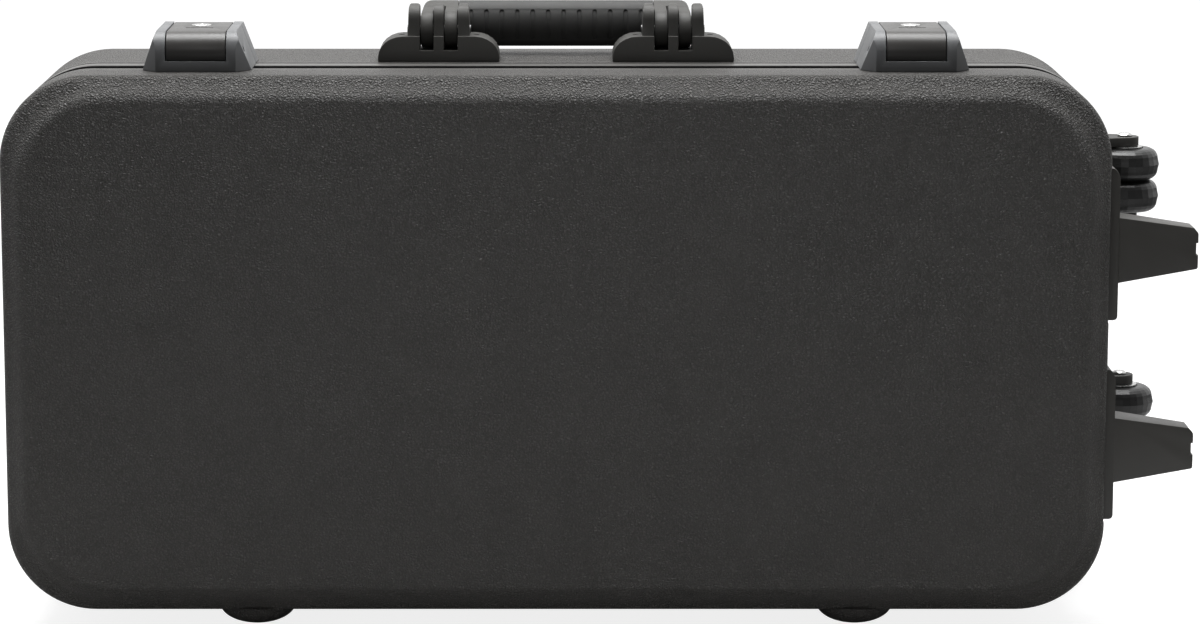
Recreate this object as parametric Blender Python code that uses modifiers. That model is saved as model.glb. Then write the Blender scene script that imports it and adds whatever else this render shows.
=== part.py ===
"""Hard carrying case with a hinged lid, two lever latches, a folding handle, two pairs of wheels and two end feet.

The case stands on its moulded bumps with the lid towards -Y. Every piece is drawn in case coordinates: X along the
case from its middle, Y back from the parting plane between lid and body, Z up from the underside of the shells.
"""
import math

import bmesh
import bpy
from mathutils import Matrix, Vector

# Driving dimensions in metres, angles in degrees
shell_width = 0.720
shell_height = 0.354
corner_radius = 0.0575
lid_wall_depth = 0.0437
body_wall_depth = 0.1135
shell_wall = 0.004
edge_radius = 0.0045
ledge_width = 0.0010
ledge_corner_swell = 0.0080
valley_radius = 0.0030
crown_radius = 0.0100
panel_rise = 0.0090
panel_tilt = 45
panel_corner_swell = 0.0120
seat_gap = 0.0003
running_gap = 0.0003
cut_overrun = 0.002
merge_distance = 0.00001
sharp_angle = 35

# Moulded bumps that the case stands on
bump_end_inset = 0.1625
bump_half_width = 0.0250
bump_half_depth = 0.0210
bump_height = 0.0116
bump_roundness = 0.0004
bump_centre_height = 0.0008
bump_dome_height = 0.0024
bump_inset = 0.0145
bump_rear_inset = 0.0225

# Extruded rims round the two parting edges
rim_mating_gap = 0.0006
rim_recess = 0.0020
rim_shadow_depth = 0.0078
rim_face_depth = 0.0145
rim_groove = 0.0030
rim_flange_gap = 0.0003
rim_flange_thickness = 0.0020
lid_flange_depth = 0.0300
body_flange_depth = 0.0360
lip_gap = 0.0004
lip_thickness = 0.0015
lip_reach = 0.0040
lip_root_depth = 0.0100

# Foam liners
liner_side_gap = 0.0004
liner_thickness = 0.0190
lid_pad_thickness = 0.0200
tray_floor_thickness = 0.0085
cavity_corner_radius = 0.0300
liner_lid_edge_gap = 0.0010
liner_body_edge_gap = 0.0005
liner_panel_setback = 0.0012
liner_panel_margin = 0.0020

# Bottom hinges
hinge_bump_clearance = 0.0425
hinge_width = 0.0600
hinge_leaf_thickness = 0.0015
hinge_leaf_reach = 0.0260
hinge_pin_radius = 0.0015
hinge_knuckle_radius = 0.0027
hinge_leaf_step = 0.0002
hinge_knuckle_count = 5

# Lever latches
latch_end_inset = 0.1265
latch_base_width = 0.0710
latch_top_width = 0.0520
latch_height = 0.0260
latch_front = 0.0308
latch_overhang = 0.0193
latch_corner_cut = 0.0120
latch_pivot_height = 0.0135
latch_nose_radius = 0.0125
latch_front_wall = 0.0018
latch_sill_height = 0.0070
latch_floor = 0.0030
latch_slot_width = 0.0398
keeper_depth = 0.0240
keeper_top_setback = 0.0030
keeper_rear_wall = 0.0023
keeper_rear_height = 0.0140
keeper_lip_front = 0.0044
keeper_lip_thickness = 0.0035
keeper_lip_height = 0.0070
lever_side_gap = 0.0008
lever_nose_gap = 0.0005
lever_thickness = 0.0035
lever_nose_sweep = 145
lever_tail_lip_drop = 0.0055
lever_tail_lip_thickness = 0.0025
lever_cheek_thickness = 0.0030
latch_pin_radius = 0.0020
latch_pin_recess = 0.0036
hook_thickness = 0.0015
hook_arm_spread = 0.0285
hook_arm_width = 0.0035
hook_claw_thickness = 0.0030
hook_claw_clearance = 0.0010
hook_lift = 0.0005
hook_strap_depth = 0.0100
lock_offset = 0.0193
lock_radius = 0.0066
lock_proud = 0.0006
lock_barrel_radius = 0.0050
lock_flange_depth = 0.0035
lock_barrel_depth = 0.0130
lock_boss_radius = 0.0090
lock_boss_drop = 0.0060
lock_key_width = 0.0012
lock_key_length = 0.0070
lock_key_depth = 0.0040
lock_recess_width = 0.0180
lock_recess_depth = 0.0012
lock_recess_length = 0.0026
lock_recess_offset = 0.0160
cam_thickness = 0.0025
cam_reach = 0.0100
cam_width = 0.0080
spring_coils = 4
spring_wire_radius = 0.0005
spring_coil_gap = 0.0006
spring_clearance = 0.0012
spring_leg = 0.0070

# Carrying handle
bracket_spacing = 0.1554
bracket_length = 0.0804
bracket_depth = 0.0300
bracket_centre_depth = 0.0443
bracket_shoulder_height = 0.0170
bracket_shoulder_run = 0.0163
bracket_skirt = 0.0030
lug_block_length = 0.0422
lug_height = 0.0375
lug_depth = 0.0240
lug_round = 0.0100
lug_lean = 0.0012
lug_tip_round = 0.0024
middle_lug_width = 0.0066
slot_width = 0.0093
slot_floor = 0.0075
handle_pivot_height = 0.0205
handle_pin_radius = 0.0028
handle_arm_radius = 0.0120
arm_side_gap = 0.0006
arm_flat_length = 0.0225
grip_offset = 0.0400
grip_half_depth = 0.0120
grip_half_height = 0.0155
grip_bore_half_depth = 0.0070
grip_bore_half_height = 0.0100
grip_groove_count = 12
grip_groove_pitch = 0.0104
grip_groove_width = 0.0029
grip_groove_length = 0.0200
grip_groove_depth = 0.0009
handle_end_round = 0.0070
fork_slot_reach = 0.0265
screw_shank_radius = 0.0018
screw_head_radius = 0.0030
screw_head_height = 0.0022
screw_head_crown_share = 0.6
screw_sink_floor = 0.0048
shoulder_pit_offset = 0.0247
shoulder_pit_radius = 0.0022
shoulder_pit_floor = 0.0140
backplate_width = 0.0150
backplate_thickness = 0.0020
backplate_overhang = 0.0080

# Wheel assemblies on the right-hand end
wheel_upper_drop = 0.0857
wheel_lower_height = 0.1043
wheel_depth = 0.0863
axle_reach = 0.0259
wheel_radius = 0.0236
wheel_width = 0.0212
wheel_corner = 0.0070
wheel_crown = 0.0008
wheel_pair_gap = 0.0004
hub_radius = 0.0125
hub_recess = 0.0006
axle_radius = 0.0040
washer_radius = 0.0122
washer_thickness = 0.0010
ear_thickness = 0.0061
ear_nose_radius = 0.0095
ear_root_width = 0.0340
bracket_plate_thickness = 0.0032
bracket_plate_width = 0.0420
bracket_plate_margin = 0.0090
bracket_window_width = 0.0300
axle_head_radius = 0.0050
axle_head_height = 0.0020
axle_head_crown_share = 0.7
axle_head_rim_share = 0.35
axle_nut_radius = 0.0065
axle_nut_height = 0.0050

# Wedge feet on the right-hand end
foot_spacing = 0.1328
foot_pair_drop = 0.0012
foot_flange_length = 0.1000
foot_flange_proud = 0.0064
foot_flange_front = 0.0052
foot_flange_rear = 0.0090
foot_pocket_depth = 0.0020
foot_pocket_margin = 0.0015
foot_pocket_front = 0.0080
foot_reach = 0.0585
foot_root_above = 0.0185
foot_root_below = 0.0265
foot_tip_above = 0.0102
foot_tip_below = 0.0163
foot_tip_front_inset = 0.0020
foot_tip_rear_inset = 0.0075
foot_edge_round = 0.0012
foot_tip_chamfer = 0.0032
foot_nose_height = 0.0085
foot_nose_depth = 0.0052
foot_heel_round = 0.0026
foot_notch_height = 0.0080
foot_notch_depth = 0.0015
foot_notch_offset = 0.0033
foot_stud_radius = 0.0030
foot_stud_spacing = 0.0700

# Steps of the round stretches
corner_steps = 8
edge_steps = 3
valley_steps = 2
crown_steps = 4
curve_steps = 5
round_steps = 24
fine_steps = 16
wheel_steps = 28

# Places that follow from the sizes above
half_width = shell_width / 2
tilt = math.radians(panel_tilt)
slope_rise = panel_rise - (valley_radius + crown_radius) * (1 - math.cos(tilt))
panel_run = (valley_radius + crown_radius) * math.sin(tilt) + slope_rise / math.tan(tilt)
ledge_end = edge_radius + ledge_width
hinge_axis_drop = seat_gap + hinge_knuckle_radius + hinge_leaf_step
bump_place = half_width - bump_end_inset
hinge_place = bump_place - bump_half_width - hinge_bump_clearance - hinge_width / 2
case_front = lid_wall_depth + edge_radius + panel_rise
case_rear = body_wall_depth + edge_radius + panel_rise
stand_place = Vector((-foot_reach / 2, (case_front - case_rear) / 2, bump_height))
lid_edge = rim_shadow_depth - seat_gap
rim_face_end = rim_shadow_depth + rim_face_depth
body_edge = rim_face_end + rim_groove
rim_flange_start = shell_wall + rim_flange_gap
rim_flange_end = rim_flange_start + rim_flange_thickness
lip_start = rim_flange_end + lip_gap
lip_end = lip_start + lip_thickness
latch_pivot_depth = -latch_front + latch_nose_radius
lever_radius = latch_nose_radius - lever_nose_gap
lever_top = latch_pivot_height + lever_radius
lever_underside = lever_top - lever_thickness
lever_half_width = latch_slot_width / 2 - lever_side_gap
keeper_front = latch_overhang + seat_gap
keeper_rear = keeper_front + keeper_depth
lever_tail = keeper_rear - keeper_rear_wall
lip_bar_start = keeper_front + keeper_lip_front
lip_bar_end = lip_bar_start + keeper_lip_thickness
claw_start = lip_bar_end + hook_claw_clearance
claw_end = claw_start + hook_claw_thickness
hook_top = lever_underside - seat_gap
lever_head_height = lever_top + lock_proud
barrel_bottom = lever_top - lock_barrel_depth
slot_centre = (middle_lug_width + slot_width) / 2
arm_width = slot_width - 2 * arm_side_gap
grip_half_length = bracket_spacing / 2 - slot_centre - arm_width / 2 - seat_gap
handle_end = bracket_spacing / 2 + slot_centre + arm_width / 2
wheel_offset = (wheel_width + wheel_pair_gap) / 2
pair_half = wheel_offset + wheel_width / 2
ear_start = pair_half + washer_thickness + 2 * running_gap
ear_end = ear_start + ear_thickness
bracket_plate_half = ear_end + bracket_plate_margin
axle_place = half_width + axle_reach

# Joint axes in case coordinates
hinge_axis = Vector((0, 0, -hinge_axis_drop))
handle_axis = Vector((0, bracket_centre_depth, shell_height + handle_pivot_height))
latch_places = {
    "left": Vector((latch_end_inset - half_width, 0, shell_height)),
    "right": Vector((half_width - latch_end_inset, 0, shell_height)),
}
lever_pivot = Vector((0, latch_pivot_depth, latch_pivot_height))
lock_axis = Vector((0, lock_offset, lever_top))
wheel_places = {
    "upper": Vector((axle_place, wheel_depth, shell_height - wheel_upper_drop)),
    "lower": Vector((axle_place, wheel_depth, wheel_lower_height)),
}
foot_middle = shell_height / 2 - foot_pair_drop
foot_places = {
    "upper": Vector((half_width, 0, foot_middle + foot_spacing / 2)),
    "lower": Vector((half_width, 0, foot_middle - foot_spacing / 2)),
}

# A fresh scene with a collection for the case
for old in list(bpy.data.objects):
    bpy.data.objects.remove(old)
case = bpy.data.collections.new("hard_case")
bpy.context.scene.collection.children.link(case)


def material(name, colour, roughness, metallic=0):
    """A plain finish in the piece's own colour."""
    finish = bpy.data.materials.new(name)
    finish.use_nodes = True
    shader = finish.node_tree.nodes["Principled BSDF"]
    shader.inputs["Base Color"].default_value = (*colour, 1)
    shader.inputs["Roughness"].default_value = roughness
    shader.inputs["Metallic"].default_value = metallic
    return finish


shell_plastic = material("shell_plastic", (0.045, 0.043, 0.040), 0.55)
rim_plastic = material("rim_plastic", (0.080, 0.078, 0.075), 0.40)
foam = material("foam", (0.025, 0.025, 0.027), 0.95)
latch_grey = material("latch_grey", (0.150, 0.153, 0.158), 0.50)
lever_plastic = material("lever_plastic", (0.045, 0.043, 0.041), 0.40)
bracket_plastic = material("bracket_plastic", (0.045, 0.044, 0.042), 0.60)
grip_rubber = material("grip_rubber", (0.040, 0.040, 0.040), 0.70)
wheel_rubber = material("wheel_rubber", (0.022, 0.022, 0.022), 0.35)
hub_plastic = material("hub_plastic", (0.030, 0.030, 0.030), 0.45)
foot_plastic = material("foot_plastic", (0.052, 0.050, 0.046), 0.50)
bright_steel = material("bright_steel", (0.620, 0.620, 0.620), 0.30, 1)
dark_steel = material("dark_steel", (0.220, 0.220, 0.220), 0.40, 1)


def pivot(name, parent, place):
    """An empty on a joint's axis, which the moving pieces hang on."""
    empty = bpy.data.objects.new(name, None)
    empty.location = place
    empty.parent = parent
    case.objects.link(empty)
    return empty


def piece(name, mesh, finish, carrier, place=Vector()):
    """A named node at its place in its carrier's coordinates, smooth over its round stretches."""
    node = bpy.data.objects.new(name, mesh)
    if not mesh.materials:
        mesh.materials.append(finish)
    mesh.shade_smooth()
    mesh.set_sharp_from_angle(angle=math.radians(sharp_angle))
    node.parent = carrier
    node.location = place
    case.objects.link(node)
    return node


def to_mesh(bm):
    """Closes the work on a bmesh and gives its mesh, faces out."""
    bmesh.ops.recalc_face_normals(bm, faces=bm.faces)
    mesh = bpy.data.meshes.new("form")
    bm.to_mesh(mesh)
    bm.free()
    return mesh


def with_modifiers(mesh, add):
    """The mesh as it is after the modifiers that the function add gives its object."""
    work = bpy.data.objects.new("form", mesh)
    bpy.context.scene.collection.objects.link(work)
    add(work)
    graph = bpy.context.evaluated_depsgraph_get()
    result = bpy.data.meshes.new_from_object(work.evaluated_get(graph))
    bpy.data.objects.remove(work)
    return result


def combined(mesh, operation, tools):
    """One Boolean after another, UNION or DIFFERENCE, with each of the tool meshes."""
    for tool in tools:
        blade = bpy.data.objects.new("blade", tool)
        bpy.context.scene.collection.objects.link(blade)

        def add(work):
            step = work.modifiers.new(operation.lower(), "BOOLEAN")
            step.operation = operation
            step.object = blade

        mesh = with_modifiers(mesh, add)
        bpy.data.objects.remove(blade)
    return mesh


def cut(mesh, *tools):
    return combined(mesh, "DIFFERENCE", tools)


def join(mesh, *tools):
    return combined(mesh, "UNION", tools)


def moved(mesh, place):
    """A copy of a mesh, shifted."""
    copy = mesh.copy()
    copy.transform(Matrix.Translation(place))
    return copy


def box(low, high):
    """A box between two corners."""
    bm = bmesh.new()
    bmesh.ops.create_cube(bm, size=1)
    low, high = Vector(low), Vector(high)
    bmesh.ops.scale(bm, vec=high - low, verts=bm.verts)
    bmesh.ops.translate(bm, vec=(low + high) / 2, verts=bm.verts)
    return to_mesh(bm)


def prism(points, across, start, end):
    """A flat outline pushed along an axis. Outlines across X are (y, z), across Y (x, z) and across Z (x, y)."""
    spots = {
        "X": lambda u, v: (start, u, v),
        "Y": lambda u, v: (u, start, v),
        "Z": lambda u, v: (u, v, start),
    }[across]
    way = {"X": Vector((1, 0, 0)), "Y": Vector((0, 1, 0)), "Z": Vector((0, 0, 1))}[across]
    bm = bmesh.new()
    face = bm.faces.new([bm.verts.new(spots(u, v)) for u, v in points])
    grown = bmesh.ops.extrude_face_region(bm, geom=[face])["geom"]
    top = [v for v in grown if isinstance(v, bmesh.types.BMVert)]
    bmesh.ops.translate(bm, vec=way * (end - start), verts=top)
    return to_mesh(bm)


def arc(centre, radii, first, last, steps):
    """Points on an ellipse's arc, from the first angle to the last."""
    turns = [math.radians(first + (last - first) * i / steps) for i in range(steps + 1)]
    return [(centre[0] + radii[0] * math.cos(t), centre[1] + radii[1] * math.sin(t)) for t in turns]


def rod(radius, length, axis="Z", steps=round_steps, radius_2=None):
    """A round bar on the origin, centred along its axis."""
    bm = bmesh.new()
    bmesh.ops.create_cone(
        bm,
        cap_ends=True,
        segments=steps,
        radius1=radius,
        radius2=radius if radius_2 is None else radius_2,
        depth=length,
    )
    turn = {"X": Matrix.Rotation(math.pi / 2, 3, "Y"), "Y": Matrix.Rotation(math.pi / 2, 3, "X")}.get(axis)
    if turn:
        bmesh.ops.rotate(bm, matrix=turn, verts=bm.verts)
    return to_mesh(bm)


def turned(profile, steps):
    """A profile of (radius, height) points, top to bottom on its outer side, turned round Z."""
    bm = bmesh.new()
    ring = [bm.verts.new((r, 0, z)) for r, z in profile]
    hollow = min(r for r, z in profile) > 0
    pairs = zip(ring, ring[1:] + ring[:1]) if hollow else zip(ring, ring[1:])
    for a, b in pairs:
        bm.edges.new((a, b))
    mesh = bpy.data.meshes.new("profile")
    bm.to_mesh(mesh)
    bm.free()

    def add(work):
        screw = work.modifiers.new("turn", "SCREW")
        screw.steps = steps
        screw.render_steps = steps
        screw.use_merge_vertices = True
        screw.merge_threshold = merge_distance

    result = with_modifiers(mesh, add)
    bm = bmesh.new()
    bm.from_mesh(result)
    return to_mesh(bm)


def case_outline(inset, swell=0):
    """The rounded outline of the case seen from the front, moved inwards by the inset. swell widens its corners."""
    r = max(corner_radius - inset + swell, edge_radius)
    middle = shell_height / 2
    x, z = half_width - inset - r, middle - inset - r
    points = []
    for number, (side_x, side_z) in enumerate(((1, 1), (-1, 1), (-1, -1), (1, -1))):
        start = 90 * number
        points += arc((side_x * x, middle + side_z * z), (r, r), start, start + 90, corner_steps)
    return points


def ring_loft(stations, closed_ring):
    """Bridges case outlines, one for each (depth, inset, swell) station, into a ring or a capped dish."""
    bm = bmesh.new()
    loops = []
    for depth, *shape in stations:
        loops.append([bm.verts.new((x, depth, z)) for x, z in case_outline(*shape)])
    pairs = list(zip(loops, loops[1:]))
    if closed_ring:
        pairs.append((loops[-1], loops[0]))
    for one, two in pairs:
        count = len(one)
        for i in range(count):
            j = (i + 1) % count
            bm.faces.new((one[i], one[j], two[j], two[i]))
    if not closed_ring:
        bm.faces.new(loops[0])
        bm.faces.new(loops[-1])
    return to_mesh(bm)


def shell_stations(edge, wall_depth, way):
    """The outer side of a shell from its rim to its raised panel. way is 1 towards the back and -1 to the front."""
    stations = [(edge, 0, 0)]
    for i in range(edge_steps + 1):
        turn = math.radians(90 * i / edge_steps)
        stations.append((wall_depth + edge_radius * math.sin(turn), edge_radius * (1 - math.cos(turn)), 0))
    climb = []
    for i in range(valley_steps + 1):
        turn = tilt * i / valley_steps
        climb.append((valley_radius * math.sin(turn), valley_radius * (1 - math.cos(turn))))
    for i in range(crown_steps + 1):
        turn = tilt * (1 - i / crown_steps)
        climb.append((panel_run - crown_radius * math.sin(turn), panel_rise - crown_radius * (1 - math.cos(turn))))
    for run, rise in climb:
        swell = ledge_corner_swell + (panel_corner_swell - ledge_corner_swell) * run / panel_run
        stations.append((wall_depth + edge_radius + rise, ledge_end + run, swell))
    return [(way * depth, inset, swell) for depth, inset, swell in stations]


def shell(edge, wall_depth, way):
    """A moulded half: an open dish of the outer surface, with its wall grown inwards."""
    bm = bmesh.new()
    loops = []
    for depth, inset, swell in shell_stations(edge, wall_depth, way):
        loops.append([bm.verts.new((x, depth, z)) for x, z in case_outline(inset, swell)])
    for one, two in zip(loops, loops[1:]):
        count = len(one)
        for i in range(count):
            j = (i + 1) % count
            bm.faces.new((one[i], one[j], two[j], two[i]))
    bm.faces.new(loops[-1])
    bmesh.ops.recalc_face_normals(bm, faces=bm.faces)
    if sum(face.normal.y * face.calc_area() for face in bm.faces) * way < 0:
        bmesh.ops.reverse_faces(bm, faces=bm.faces)
    mesh = bpy.data.meshes.new("dish")
    bm.to_mesh(mesh)
    bm.free()

    def add(work):
        wall = work.modifiers.new("wall", "SOLIDIFY")
        wall.thickness = shell_wall
        wall.offset = -1
        wall.use_even_offset = True

    return with_modifiers(mesh, add)


def bump(side, depth):
    """A domed foot moulded in one with the shell, flat underneath."""
    bm = bmesh.new()
    bmesh.ops.create_uvsphere(bm, u_segments=20, v_segments=12, radius=1)
    tall = bump_height + bump_roundness + bump_centre_height
    for vert in bm.verts:
        stretch = bump_dome_height if vert.co.z > 0 else tall
        vert.co = (vert.co.x * bump_half_width, vert.co.y * bump_half_depth, vert.co.z * stretch)
    bmesh.ops.translate(bm, vec=(0, 0, bump_centre_height), verts=bm.verts)
    ground = bmesh.ops.bisect_plane(
        bm,
        geom=list(bm.verts) + list(bm.edges) + list(bm.faces),
        plane_co=(0, 0, -bump_height),
        plane_no=(0, 0, -1),
        clear_outer=True,
    )
    bmesh.ops.contextual_create(bm, geom=[e for e in ground["geom_cut"] if isinstance(e, bmesh.types.BMEdge)])
    bmesh.ops.translate(bm, vec=(side * bump_place, depth, 0), verts=bm.verts)
    return to_mesh(bm)


# The frame that everything stands in: a root empty and one empty on each joint's axis
stand = pivot("case_stand", None, stand_place)
lid = pivot("lid_hinge_axis", stand, hinge_axis)
handle = pivot("handle_axis", stand, handle_axis)
levers = {side: pivot(f"latch_lever_axis_{side}", lid, place + lever_pivot - hinge_axis)
          for side, place in latch_places.items()}
locks = {side: pivot(f"lock_axis_{side}", levers[side], lock_axis - lever_pivot) for side in latch_places}
on_lid = -hinge_axis


# Body shell: the rear half, with its two bumps and the holes for the handle screws
screw_spots = [side * bracket_spacing / 2 + way * slot_centre for side in (-1, 1) for way in (-1, 1)]
screw_tip = shell_wall + seat_gap + backplate_thickness


def screw_hole(x):
    length = shell_wall + bracket_shoulder_height
    drill = rod(screw_shank_radius + running_gap, 2 * length, "Z", fine_steps)
    return moved(drill, Vector((x, bracket_centre_depth, shell_height)))


body_form = shell(body_edge, body_wall_depth, 1)
body_form = join(body_form, *[bump(side, body_wall_depth - bump_rear_inset) for side in (-1, 1)])
body_form = cut(body_form, *[screw_hole(x) for x in screw_spots])
piece("body_shell", body_form, shell_plastic, stand)


# Lid shell: the front half, with its bumps, and two pockets with stud holes for the wedge feet
def foot_pocket(height):
    reach = foot_flange_length / 2 + foot_pocket_margin
    low = (half_width - foot_pocket_depth, foot_front - foot_pocket_front, height - reach)
    high = (half_width + cut_overrun, 0, height + reach)
    return box(low, high)


def foot_stud_hole(height, way):
    drill = rod(foot_stud_radius + running_gap, 4 * shell_wall, "X", fine_steps)
    return moved(drill, Vector((half_width, foot_centre, height + way * foot_stud_spacing / 2)))


foot_front = -lid_wall_depth + foot_flange_front
foot_rear = -foot_flange_rear
foot_centre = (foot_front + foot_rear) / 2
lid_form = shell(lid_edge, lid_wall_depth, -1)
lid_form = join(lid_form, *[bump(side, bump_inset - lid_wall_depth) for side in (-1, 1)])
lid_form = cut(lid_form, *[foot_pocket(place.z) for place in foot_places.values()])
lid_form = cut(lid_form, *[foot_stud_hole(place.z, way) for place in foot_places.values() for way in (-1, 1)])
piece("lid_shell", lid_form, shell_plastic, lid, on_lid)

# Rims: extrusions that cap both parting edges, the body's with a lip that reaches into the lid's
body_rim = [
    (rim_mating_gap, rim_recess),
    (rim_shadow_depth, rim_recess),
    (rim_shadow_depth, 0),
    (rim_face_end, 0),
    (rim_face_end, rim_flange_start),
    (body_flange_depth, rim_flange_start),
    (body_flange_depth, rim_flange_end),
    (lip_root_depth, rim_flange_end),
    (lip_root_depth, lip_end),
    (-lip_reach, lip_end),
    (-lip_reach, lip_start),
    (rim_mating_gap, lip_start),
]
lid_rim = [
    (-rim_mating_gap, rim_recess),
    (-rim_mating_gap, rim_flange_end),
    (-lid_flange_depth, rim_flange_end),
    (-lid_flange_depth, rim_flange_start),
    (seat_gap - lid_edge, rim_flange_start),
    (seat_gap - lid_edge, rim_recess),
]
piece("body_rim", ring_loft(body_rim, True), rim_plastic, stand)
piece("lid_rim", ring_loft(lid_rim, True), rim_plastic, lid, on_lid)

# Liners: a foam tray in the body and a foam pad in the lid
liner_inset = lip_start
cavity_inset = liner_inset + liner_thickness
panel_start = ledge_end + shell_wall + liner_panel_setback
panel_flat = ledge_end + panel_run + liner_panel_margin


def liner(edge, wall_depth, floor_depth, way):
    ledge_inner = wall_depth + edge_radius - shell_wall - liner_side_gap - seat_gap
    panel_inner = ledge_inner + panel_rise - liner_panel_setback
    stations = [
        (floor_depth, cavity_inset + edge_radius),
        (edge, cavity_inset),
        (edge, liner_inset),
        (ledge_inner, liner_inset),
        (ledge_inner, panel_start, ledge_corner_swell),
        (panel_inner, panel_flat, panel_corner_swell),
    ]
    return ring_loft([(way * depth, *shape) for depth, *shape in stations], False)


tray_floor = body_wall_depth - tray_floor_thickness
pad_floor = lid_wall_depth + edge_radius + panel_rise - shell_wall - lid_pad_thickness
piece("body_liner", liner(lip_root_depth + liner_body_edge_gap, body_wall_depth, tray_floor, 1), foam, stand)
piece("lid_liner", liner(lip_reach + liner_lid_edge_gap, lid_wall_depth, pad_floor, -1), foam, lid, on_lid)


# Hinges: two butt hinges under the parting plane, each two leaves and a pin
def hinge_leaf(way, first):
    """A leaf on one half and its share of the knuckles, in hinge coordinates."""
    top = hinge_axis_drop - seat_gap
    low = (-hinge_width / 2, 0, top - hinge_leaf_thickness)
    high = (hinge_width / 2, way * hinge_leaf_reach, top)
    lows = tuple(min(a, b) for a, b in zip(low, high))
    highs = tuple(max(a, b) for a, b in zip(low, high))
    leaf = box(lows, highs)
    pitch = hinge_width / hinge_knuckle_count
    barrel_cut = []
    for i in range(hinge_knuckle_count):
        middle = Vector((-hinge_width / 2 + (i + 0.5) * pitch, 0, 0))
        if i % 2 == first:
            knuckle = rod(hinge_knuckle_radius, pitch - 2 * running_gap, "X", fine_steps)
            leaf = join(leaf, moved(knuckle, middle))
        else:
            reach = hinge_knuckle_radius + hinge_leaf_step + running_gap
            low = middle - Vector((pitch / 2 + running_gap / 2, reach, reach))
            high = middle + Vector((pitch / 2 + running_gap / 2, reach, reach))
            barrel_cut.append(box(low, high))
    bore = rod(hinge_pin_radius + running_gap, hinge_width + 2 * cut_overrun, "X", fine_steps)
    return cut(leaf, *barrel_cut, bore)


body_leaf = hinge_leaf(1, 0)
lid_leaf = hinge_leaf(-1, 1)
hinge_pin = rod(hinge_pin_radius, hinge_width, "X", fine_steps)
for side, way in (("left", -1), ("right", 1)):
    spot = hinge_axis + Vector((way * hinge_place, 0, 0))
    piece(f"hinge_leaf_body_{side}", body_leaf, dark_steel, stand, spot)
    piece(f"hinge_leaf_lid_{side}", lid_leaf, dark_steel, lid, spot - hinge_axis)
    piece(f"hinge_pin_{side}", hinge_pin, dark_steel, stand, spot)


# Latches: a frame on the lid, a keeper on the body, and a lever with its hook, pin, spring and lock
def flanked(mesh):
    """Leans the flanks of a latch block inwards to its narrower top."""
    bm = bmesh.new()
    bm.from_mesh(mesh)
    lean = Vector((latch_height, 0, (latch_base_width - latch_top_width) / 2))
    for way in (-1, 1):
        found = bmesh.ops.bisect_plane(
            bm,
            geom=list(bm.verts) + list(bm.edges) + list(bm.faces),
            plane_co=(way * latch_base_width / 2, 0, 0),
            plane_no=(way * lean.x, 0, lean.z),
            clear_outer=True,
        )
        bmesh.ops.contextual_create(bm, geom=[e for e in found["geom_cut"] if isinstance(e, bmesh.types.BMEdge)])
    return bm


def latch_frame():
    nose = (latch_pivot_depth, latch_pivot_height)
    outline = [(-latch_front, seat_gap)]
    outline += arc(nose, (latch_nose_radius, latch_nose_radius), 180, 90, curve_steps + 1)
    outline += [(latch_overhang, latch_height), (latch_overhang, seat_gap)]
    bm = flanked(prism(outline, "X", -latch_base_width / 2, latch_base_width / 2))
    for way in (-1, 1):
        run = (latch_base_width - latch_top_width) / 2
        found = bmesh.ops.bisect_plane(
            bm,
            geom=list(bm.verts) + list(bm.edges) + list(bm.faces),
            plane_co=(way * latch_top_width / 2, -latch_front, 0),
            plane_no=(way * latch_corner_cut, -run, 0),
            clear_outer=True,
        )
        bmesh.ops.contextual_create(bm, geom=[e for e in found["geom_cut"] if isinstance(e, bmesh.types.BMEdge)])
    half = latch_slot_width / 2
    inner = latch_front_wall - latch_front
    rear = latch_overhang + cut_overrun
    top = latch_height + cut_overrun
    window = [
        (-latch_front - cut_overrun, latch_sill_height),
        (inner, latch_sill_height),
        (inner, -cut_overrun),
        (latch_pivot_depth + latch_nose_radius, -cut_overrun),
        (latch_pivot_depth + latch_nose_radius, latch_floor),
        (rear, latch_floor),
        (rear, top),
        (-latch_front - cut_overrun, top),
    ]
    bore = rod(latch_pin_radius + running_gap, latch_base_width + cut_overrun, "X", fine_steps)
    return cut(to_mesh(bm), prism(window, "X", -half, half), moved(bore, lever_pivot))


def latch_keeper():
    outline = [
        (keeper_front, seat_gap),
        (keeper_front, latch_height),
        (keeper_rear - keeper_top_setback, latch_height),
        (keeper_rear, seat_gap),
    ]
    bm = flanked(prism(outline, "X", -latch_base_width / 2, latch_base_width / 2))
    half = latch_slot_width / 2
    front = keeper_front - cut_overrun
    rear = keeper_rear + cut_overrun
    top = latch_height + cut_overrun
    channel = [
        (front, latch_floor),
        (lip_bar_start, latch_floor),
        (lip_bar_start, keeper_lip_height),
        (lip_bar_end, keeper_lip_height),
        (lip_bar_end, latch_floor),
        (lever_tail, latch_floor),
        (lever_tail, keeper_rear_height),
        (rear, keeper_rear_height),
        (rear, top),
        (front, top),
    ]
    return cut(to_mesh(bm), prism(channel, "X", -half, half))


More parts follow.
